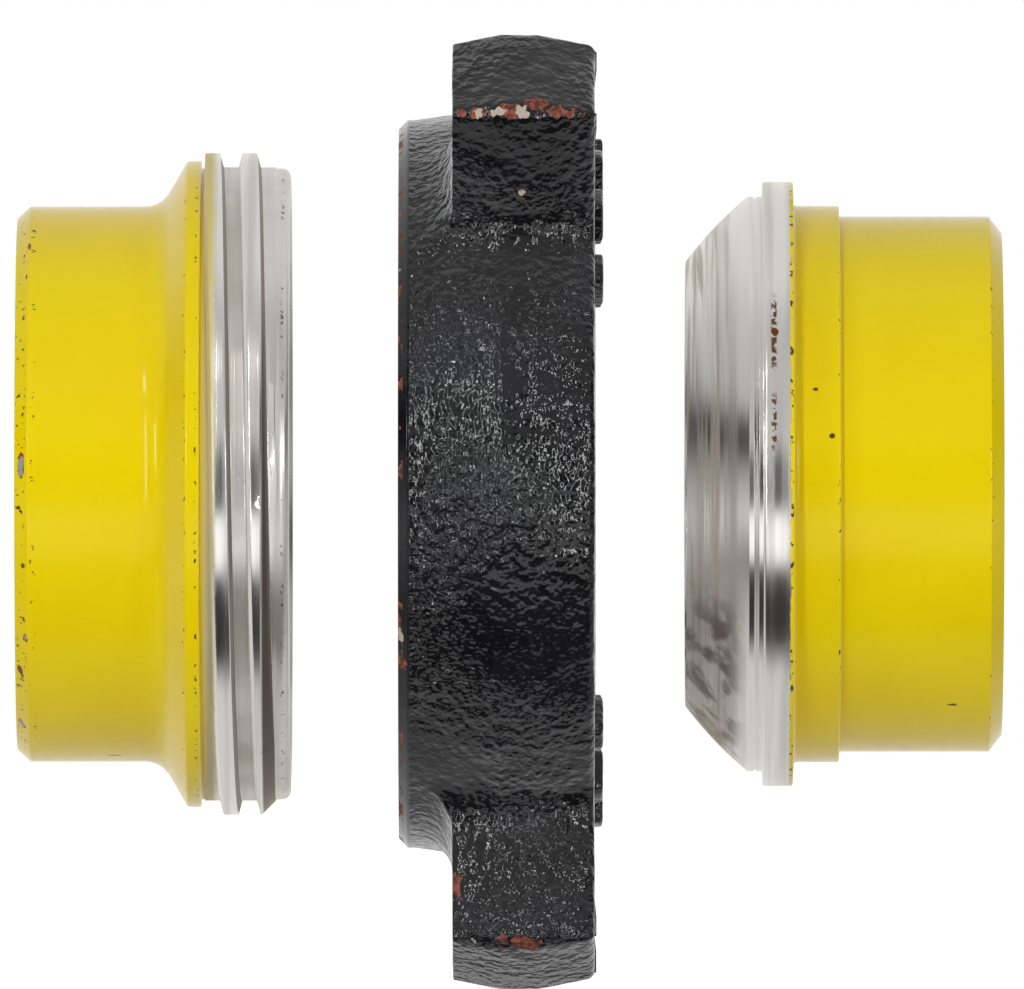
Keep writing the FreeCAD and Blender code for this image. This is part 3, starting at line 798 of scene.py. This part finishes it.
def roughen(mesh):
    """Sink the forged skin by uneven depths, and raise the flash along both parting edges.

    The skin starts behind the machined bevel, and leaves the bores and the eye alone. Its
    depth is a mean with lumps of three sizes on it, less a bell curve over each edge.
    """
    count = len(mesh.vertices)
    spots, normals = np.empty(count * 3, np.float32), np.empty(count * 3, np.float32)
    mesh.vertices.foreach_get("co", spots)
    mesh.vertex_normals.foreach_get("vector", normals)
    spots, normals = spots.reshape(-1, 3), normals.reshape(-1, 3)
    from_mouth = spots[:, 0] / MM - NUT_START
    radius = np.hypot(spots[:, 1], spots[:, 2]) / MM
    on_face = (from_mouth > NUT_WIDTH - 1) * np.clip(radius - FACE_SKIN_R, 0, 1)
    on_outside = np.clip((radius - HUB_SKIN_R) / 2, 0, 1)
    skin = np.clip(from_mouth - SKIN_START, 0, 1) * np.maximum(on_outside, on_face)
    in_mm = spots.astype(float) / MM
    depth = np.full(count, SKIN_DEPTH)
    for height, spacing, seed in SKIN_LUMPS:
        depth += height * lumps(in_mm, spacing, seed)
    on_hub = np.clip((FLASH_END_R - radius) / 4, 0, 1)
    for edge in (BAND_START, BAND_END):
        flash = np.exp(-((from_mouth - edge) / FLASH_WIDTH) ** 2)
        depth -= FLASH_HEIGHT * flash * on_hub * (0.6 + 0.4 * lumps(in_mm, 7, 4))
    spots -= normals * (depth * skin * MM)[:, None]
    mesh.vertices.foreach_set("co", spots.ravel())
    mesh.update()


roughen(nut_mesh)
smooth(nut_mesh, 44)

BLACK = (0.004, 0.004, 0.005, 1)
SOFT_BLACK = (0.007, 0.007, 0.009, 1)
PRIMER = (0.42, 0.36, 0.30, 1)
DARK_RUST = (0.07, 0.018, 0.009, 1)
RED_RUST = (0.27, 0.075, 0.045, 1)
UPPER_LUG = math.degrees(TOP + NUT_LEAN)
LOWER_LUG = UPPER_LUG + 120


def on_lug(x, degrees, out, side):
    """A place on a lug: how far out along its axis, and to which side of it."""
    angle = math.radians(degrees)
    y = out * math.cos(angle) - side * math.sin(angle)
    z = out * math.sin(angle) + side * math.cos(angle)
    return x * MM, y * MM, z * MM


# Marks are (place, stretch, size), and most sit just inside the corner of a lug
tip, edge = LUG_REACH - 1.0, LUG_HALF - 1.2
rust_marks = [
    (on_lug(-122.2, UPPER_LUG, tip, edge), (2.4, 1, 1), 0.0021),
    (on_lug(-111.9, UPPER_LUG, tip, edge), (1.6, 1, 1), 0.0019),
    (on_lug(-106.2, UPPER_LUG, tip + 0.8, edge - 2.5), (1.8, 1, 1.3), 0.0017),
    (on_lug(-100.4, UPPER_LUG, tip, edge), (2.2, 1, 1), 0.0021),
    (on_lug(-94.6, UPPER_LUG, tip, edge), (1.0, 1, 1), 0.0022),
    (on_lug(-101.4, UPPER_LUG, LUG_REACH, -6.0), (1.2, 1, 1), 0.0009),
    (on_lug(-124.6, LOWER_LUG, 104.0, -edge), (0.8, 3.0, 3.0), 0.0013),
    (on_lug(-108.9, LOWER_LUG, tip, -edge), (1.8, 1, 1), 0.0020),
    (on_lug(-114.0, LOWER_LUG, tip, -edge - 0.8), (0.9, 1, 1), 0.0018),
    (at_front(-137.4, 60.0, 80.6), (0.7, 1, 2.6), 0.0011),
    (at_front(-137.4, 42.0, 80.6), (0.8, 1, 4.0), 0.0011),
    (at_front(-137.5, 32.0, 80.6), (0.7, 1, 2.5), 0.0009),
    (at_front(-137.3, -30.0, 80.6), (0.8, 1, 3.0), 0.0012),
    (at_front(-136.4, -39.5, 81.4), (1.2, 1, 2.0), 0.0012),
]
pale_marks = [
    (on_lug(-115.3, UPPER_LUG, tip, edge), (1.5, 1, 1), 0.0013),
    (on_lug(-109.6, UPPER_LUG, tip, edge), (1.1, 1, 1), 0.0016),
    (on_lug(-98.0, UPPER_LUG, tip, edge), (1.2, 1, 1), 0.0016),
    (on_lug(-119.6, UPPER_LUG, tip, edge), (1.0, 1, 1), 0.0016),
    (on_lug(-109.8, UPPER_LUG, 96.0, LUG_HALF), (1, 1, 1), 0.0009),
    (at_front(-136.9, -33.6, 81.0), (0.9, 1, 1.8), 0.0013),
    (at_front(-137.2, 47.5, 80.7), (0.6, 1, 2.2), 0.0007),
    (on_lug(-121.0, LOWER_LUG, tip, -edge), (1.3, 1, 1), 0.0016),
]


def marked(tree, mask, marks, fray, scale):
    """The mask with these marks added, frayed by this share of their size."""
    for spot, stretch, size in marks:
        mark = use(tree, SPOT, spot, stretch, size, size * fray, scale)
        mask = sums(tree, "MAXIMUM", mask, mark)
    return mask


def black_on_forging(name):
    """Gloss black paint over a rough forged skin, rusted and chipped on its edges."""
    material = bpy.data.materials.new(name)
    material.use_nodes = True
    tree = material.node_tree
    outside = ramp(tree, use(tree, RADIUS), 0.0785, 0.0800)
    behind_bevel = use(tree, STEP, (NUT_START + 2.3) * MM, 0.0003, 0.0002, 200.0)
    shoulder = use(tree, STEP, (NUT_START + NUT_WIDTH - 1.0) * MM, 0.0005, 0.0, 200.0)
    skin = product(tree, behind_bevel, sums(tree, "MAXIMUM", outside, shoulder))
    colour = blend(tree, use(tree, FLECKS, 40.0, 0.5, (4, 1, 7)), BLACK, SOFT_BLACK)
    mouth_rim = near(tree, along_axis(tree), (NUT_START + 0.3) * MM, 0.0009, 0.0005)
    rust = product(tree, mouth_rim, use(tree, FLECKS, 210.0, 0.43, (1, 5, 2)))
    rust = marked(tree, rust, rust_marks, 1.3, 520.0)
    pale = product(tree, use(tree, FLECKS, 520.0, 0.215, (2, 8, 4)), outside)
    pale = marked(tree, pale, pale_marks, 1.1, 600.0)
    rust_tone = ramp(tree, noise(tree, 900.0, 2.0), 0.35, 0.65)
    colour = blend(tree, rust, colour, blend(tree, rust_tone, DARK_RUST, RED_RUST))
    colour = blend(tree, pale, colour, PRIMER)
    pebbles = product(tree, noise(tree, 520.0, 1.0), 0.95)
    relief = sums(tree, "ADD", pebbles, noise(tree, 190.0, 1.0))
    calm = ramp(tree, noise(tree, 34.0, 1.0), 0.36, 0.64, 0.45, 1.25)
    height = product(tree, relief, sums(tree, "ADD", product(tree, skin, calm), 0.05))
    bumps = add(tree, "Bump", [("Height", height), ("Strength", 1.0), ("Distance", 0.00105)])
    bare = sums(tree, "MAXIMUM", rust, pale)
    plug(tree, tree.nodes["Principled BSDF"], [
        ("Base Color", colour), ("Normal", bumps), ("Roughness", between(tree, bare, 0.15, 0.75)),
        ("Specular IOR Level", 0.38)])
    return material


black_paint = black_on_forging("black_paint_on_forging")
stand("dressed_wing_nut", nut_mesh, "wing_nut", "wing_nut", black_paint)

# Plain pads that stand up from the shoulder face in two arcs, forged with the nut
PAD_RISE = 1.8
PAD_HALF_WIDTH = 4.0
PAD_HALF_HEIGHT = 5.25
PAD_MIDDLE_R = 73.75
PAD_STEP = math.radians(17)
UPPER_PADS = 7
LOWER_PADS = 6


def pad_mesh(angle):
    """A pad with soft edges: an ellipsoid whose cosines and sines are raised to 0.3."""
    def squared(wave):
        return np.sign(wave) * abs(wave) ** 0.3
    polar = np.linspace(-TOP, TOP, 13)[:, None]
    turn = np.linspace(0, 2 * math.pi, 25)
    rise = PAD_RISE * squared(np.sin(polar)) + 0 * turn
    across = PAD_HALF_WIDTH * squared(np.cos(polar)) * squared(np.cos(turn))
    out = PAD_MIDDLE_R + PAD_HALF_HEIGHT * squared(np.cos(polar)) * squared(np.sin(turn))
    points = np.stack([
        NUT_START + NUT_WIDTH + rise,
        out * math.cos(angle) - across * math.sin(angle),
        out * math.sin(angle) + across * math.cos(angle)], axis=-1)
    return mesh_of_rows("pad", points * MM, ring=False)


pads_work = bmesh.new()
for count, middle in ((UPPER_PADS, TOP), (LOWER_PADS, -TOP)):
    for number in range(count):
        pads_work.from_mesh(pad_mesh(middle + (number - (count - 1) / 2) * PAD_STEP))
pads_mesh = bpy.data.meshes.new("cast_pads")
pads_work.to_mesh(pads_mesh)
pads_work.free()
smooth(pads_mesh, 50)
pads = bpy.data.objects.new("cast_pads", pads_mesh)
bpy.context.scene.collection.objects.link(pads)
pads_mesh.materials.append(black_paint)
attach(pads, "wing_nut")


# MALE SUB
# The pin end of the union, turned from one steel billet. The ball nose, its land and the
# collar that the nut pulls on are bare, and the land behind and the barrel are yellow.

# Places along the male sub are measured from its pipe end, towards the nut
MALE_LENGTH = 72.219
MALE_FACE_INNER_R = 56.85
MALE_FACE_OUTER_R = 57.5
MALE_BEVEL = 2.9
MALE_BARREL_R = 61.2
BACK_LAND_START = 37.2
BACK_LAND_R = 63.6
MALE_COLLAR_START = 47.7
MALE_COLLAR_END = 54.6
MALE_COLLAR_R = 69.1
NOSE_LAND_R = 65.7
FINE_GROOVE_AT = 56.3
FINE_GROOVE_HALF = 0.55
FINE_GROOVE_DEPTH = 0.5
NOSE_START = 58.0
NOSE_TIP_R = 50.8
TIP_FACE_R = 49.4
BALL_R = 85.0
BALL_CENTRE = 4.073

ball_ends = [math.asin(NOSE_LAND_R / BALL_R), math.asin(NOSE_TIP_R / BALL_R)]
ball_angle = np.linspace(*ball_ends, 20)
ball = np.stack(
    [BALL_CENTRE + BALL_R * np.cos(ball_angle), BALL_R * np.sin(ball_angle)], axis=-1)
male_outside = rounded([
    (0, MALE_FACE_INNER_R, 0), (0, MALE_FACE_OUTER_R, 0.2), (MALE_BEVEL, MALE_BARREL_R, 0.35),
    (BACK_LAND_START, MALE_BARREL_R, 0.3), (BACK_LAND_START, BACK_LAND_R, 0.35),
    (MALE_COLLAR_START, BACK_LAND_R, 1.1), (MALE_COLLAR_START, MALE_COLLAR_R, 0.35),
    (MALE_COLLAR_END, MALE_COLLAR_R, 0.6), (MALE_COLLAR_END, NOSE_LAND_R, 0.25),
    (FINE_GROOVE_AT - FINE_GROOVE_HALF, NOSE_LAND_R, 0.1),
    (FINE_GROOVE_AT, NOSE_LAND_R - FINE_GROOVE_DEPTH, 0.1),
    (FINE_GROOVE_AT + FINE_GROOVE_HALF, NOSE_LAND_R, 0.1),
    (NOSE_START - 0.15, NOSE_LAND_R, 0)], steps=7)
male_inside = rounded([
    (MALE_LENGTH, NOSE_TIP_R, 0), (MALE_LENGTH, TIP_FACE_R, 0), (MALE_LENGTH, FLOW_R, 0.5),
    (PIPE_HOLE_DEPTH, FLOW_R, 0.4), (PIPE_HOLE_DEPTH, PIPE_HOLE_R, 0)], steps=7)
male_mesh = turned_mesh("male_sub_skin", [
    ring_rows(np.concatenate([male_outside, ball, male_inside]) * [-1, 1]),
    pipe_thread(-PIPE_HOLE_DEPTH, 0, 0),
])

NOSE_GREASE = (0.36, 0.29, 0.19, 1)
NOSE_SCALE = (0.10, 0.085, 0.065, 1)
COLLAR_RUST = (0.11, 0.045, 0.02, 1)
MALE_PAINT_START = -0.04865
PIT_LINE = -0.0524


def above_axis(tree):
    """The height over the axis, along Z."""
    return add(tree, "SeparateXYZ", [(0, place(tree))], output="Z")


def male_paint(tree):
    """Paint from the back edge of the collar to the pipe end."""
    return use(tree, STEP, MALE_PAINT_START, 0.00025, 0.0008, 500.0)


def nose_grease(tree):
    """Brown grease wiped round the ball nose, in drawn-out streaks near its tip."""
    drawn = vectors(tree, "MULTIPLY", place(tree), (900, 24, 24))
    streaks = ramp(tree, noise(tree, 1.0, 2.0, drawn), 0.46, 0.66)
    near_tip = ramp(tree, along_axis(tree), -0.0610, -0.0655)
    return product(tree, streaks, near_tip, 0.6)


def nose_scale(tree):
    """Dark pitted scale on the lower side of the nose."""
    low = ramp(tree, above_axis(tree), -0.018, -0.034)
    near_tip = ramp(tree, along_axis(tree), -0.0580, -0.0640)
    pits = ramp(tree, noise(tree, 150.0, 6.0), 0.42, 0.62, 0.45, 0.95)
    return product(tree, low, near_tip, pits)


def collar_pits(tree):
    """A broken line of rust pits round the collar."""
    line = near(tree, along_axis(tree), PIT_LINE, 0.0009, 0.0004)
    pits = use(tree, FLECKS, 800.0, 0.53, (3, 6, 9))
    upper = near(tree, above_axis(tree), 0.034, 0.010, 0.006)
    lower = near(tree, above_axis(tree), 0.014, 0.008, 0.005)
    return product(tree, line, pits, sums(tree, "MAXIMUM", upper, lower))


male_edges = [(-0.0483, 0.0006, 0.42), (-0.0374, 0.0005, 0.37), (-0.0028, 0.0006, 0.35)]
male_chips = [
    (at_front(-39.2, 11.0, 63.6), (1, 1, 1), 0.0006, DIRT),
    (at_front(-43.0, 21.5, 63.6), (1.4, 1, 0.8), 0.0004, DIRT),
    (at_front(-52.2, 34.5, 69.1), (1, 1, 1.3), 0.0007, RUST),
    (at_front(-11.7, -50.3, 61.2), (2.5, 1, 0.8), 0.0004, DIRT),
]
male_smears = [
    (nose_grease, NOSE_GREASE), (nose_scale, NOSE_SCALE), (collar_pits, COLLAR_RUST),
]
stand("dressed_male_sub", male_mesh, "male_sub", "male_sub",
      painted_steel(
          "yellow_paint_on_male_sub", male_paint, male_edges, male_chips, male_smears))


# STUDIO
# A white table and surroundings, a long lens square to the axis, and soft lamps. Polished
# parts mirror a lit ceiling, a dim front wall, the dark place where the camera stands, a
# bright low reflector and the dark gap under it.

PIXEL = 0.22884 * MM
PICTURE = (1024, 989)
PIPE_END_PIXEL = 1001
AXIS_PIXEL = 484
TABLE_HALF = 6
AIM_X = -0.112

scene = bpy.context.scene
scene.view_settings.view_transform = "Standard"
floor_z = packed_bounds[0].z
floor_mesh = bpy.data.meshes.new("table")
floor_mesh.from_pydata([
    (-TABLE_HALF, -TABLE_HALF, floor_z), (TABLE_HALF, -TABLE_HALF, floor_z),
    (TABLE_HALF, TABLE_HALF, floor_z), (-TABLE_HALF, TABLE_HALF, floor_z)], [], [(0, 1, 2, 3)])
floor = bpy.data.objects.new("table", floor_mesh)
scene.collection.objects.link(floor)
floor.visible_glossy = False
white_table = bpy.data.materials.new("white_table")
white_table.use_nodes = True
table_tree = white_table.node_tree
to_camera = add(table_tree, "LightPath", output="Is Camera Ray")
plug(table_tree, table_tree.nodes["Principled BSDF"], [
    ("Base Color", (0.93, 0.93, 0.93, 1)), ("Roughness", 0.9),
    ("Emission Color", (1, 1, 1, 1)), ("Emission Strength", product(table_tree, to_camera, 0.75))])
floor_mesh.materials.append(white_table)

world = bpy.data.worlds.new("studio")
scene.world = world
world.use_nodes = True
studio = world.node_tree

# How bright the studio is at each tilt over the horizon in front, in degrees
SURROUNDINGS = [
    (-180, 0.95), (-76, 0.95), (-63, 0.05), (-34, 0.04), (-28, 1.6), (-13, 1.6), (-8, 0.05),
    (8, 0.05), (18, 0.62), (60, 0.72), (84, 1.0), (104, 1.0), (180, 1.0)]
# How bright it is to the left and right, from -1 straight down to 1 straight up
SIDEWAYS = [
    (-1, 0.95), (-0.55, 0.8), (-0.3, 0.3), (-0.13, 0.95), (-0.02, 0.62), (0.08, 0.35),
    (0.13, 0.05), (0.24, 0.05), (0.32, 0.7), (0.6, 0.8), (1, 1.0)]


def grey_bands(share, stops):
    """The greys between stops, which are (place from 0 to 1, brightness), at this share."""
    node = studio.nodes.new("ShaderNodeValToRGB")
    studio.links.new(share, node.inputs[0])
    bands = node.color_ramp.elements
    for position, level in stops[1:-1]:
        bands.new(position)
    for band, (position, level) in zip(bands, stops):
        band.position = position
        band.color = (level, level, level, 1)
    return node.outputs[0]


direction = add(studio, "SeparateXYZ", [(0, add(studio, "TexCoord", output="Generated"))])
part = direction.node.outputs
tilt = sums(studio, "ARCTAN2", part["Z"], product(studio, part["Y"], -1.0))
mirrored = grey_bands(
    sums(studio, "MULTIPLY_ADD", tilt, 0.5 / math.pi, 0.5),
    [(degrees / 360 + 0.5, level) for degrees, level in SURROUNDINGS])
sideways = grey_bands(
    sums(studio, "MULTIPLY_ADD", part["Z"], 0.5, 0.5),
    [(height / 2 + 0.5, level) for height, level in SIDEWAYS])
to_side = ramp(studio, sums(studio, "ABSOLUTE", part["X"]), 0.6, 0.85)
room = blend(studio, to_side, mirrored, sideways)
sky = ramp(studio, sums(studio, "ABSOLUTE", part["Z"]), 0.2, 0.95, 0.10, 0.62)
ambient = blend(studio, add(studio, "LightPath", output="Is Glossy Ray"), sky, room)
seen = blend(studio, add(studio, "LightPath", output="Is Camera Ray"), ambient, (1, 1, 1, 1))
plug(studio, studio.nodes["Background"], [("Color", seen)])


def soft_lamp(name, place_m, size, power):
    """A rectangular soft lamp that looks at the middle of the object."""
    light = bpy.data.lights.new(name, "AREA")
    light.shape = "RECTANGLE"
    light.size, light.size_y = size
    light.energy = power
    lamp = bpy.data.objects.new(name, light)
    scene.collection.objects.link(lamp)
    lamp.location = place_m
    aim = np.array([AIM_X, 0, 0]) - place_m
    pitch = math.atan2(math.hypot(aim[0], aim[1]), -aim[2])
    lamp.rotation_euler = (pitch, 0, math.atan2(aim[1], aim[0]) - math.pi / 2)


soft_lamp("left_strip", (-0.52, -1.25, 0.16), (0.04, 0.95), 4.7)
soft_lamp("right_strip", (0.30, -1.25, 0.06), (0.04, 0.70), 3.8)
soft_lamp("high_softbox", (-0.42, -0.95, 0.85), (0.05, 0.16), 1.4)
soft_lamp("left_softbox", (-1.28, -0.80, 0.30), (0.16, 0.34), 3.0)
soft_lamp("right_softbox", (0.80, -1.05, 0.25), (0.07, 0.20), 1.6)

# In the photo the pieces were shot one by one, so none is mirrored in its neighbour
for piece in scene.objects:
    if piece.name.startswith("dressed_") or piece.name == "cast_pads":
        piece.visible_glossy = False

lens = bpy.data.cameras.new("long_lens")
lens.sensor_width = 36
lens.lens = 1200
camera = bpy.data.objects.new("camera", lens)
scene.collection.objects.link(camera)
distance = PICTURE[0] * PIXEL * lens.lens / lens.sensor_width
camera.location = (
    (PICTURE[0] / 2 - PIPE_END_PIXEL) * PIXEL, -distance, (AXIS_PIXEL - PICTURE[1] / 2) * PIXEL)
camera.rotation_euler = (math.pi / 2, 0, 0)
lens.clip_end = 100
scene.camera = camera
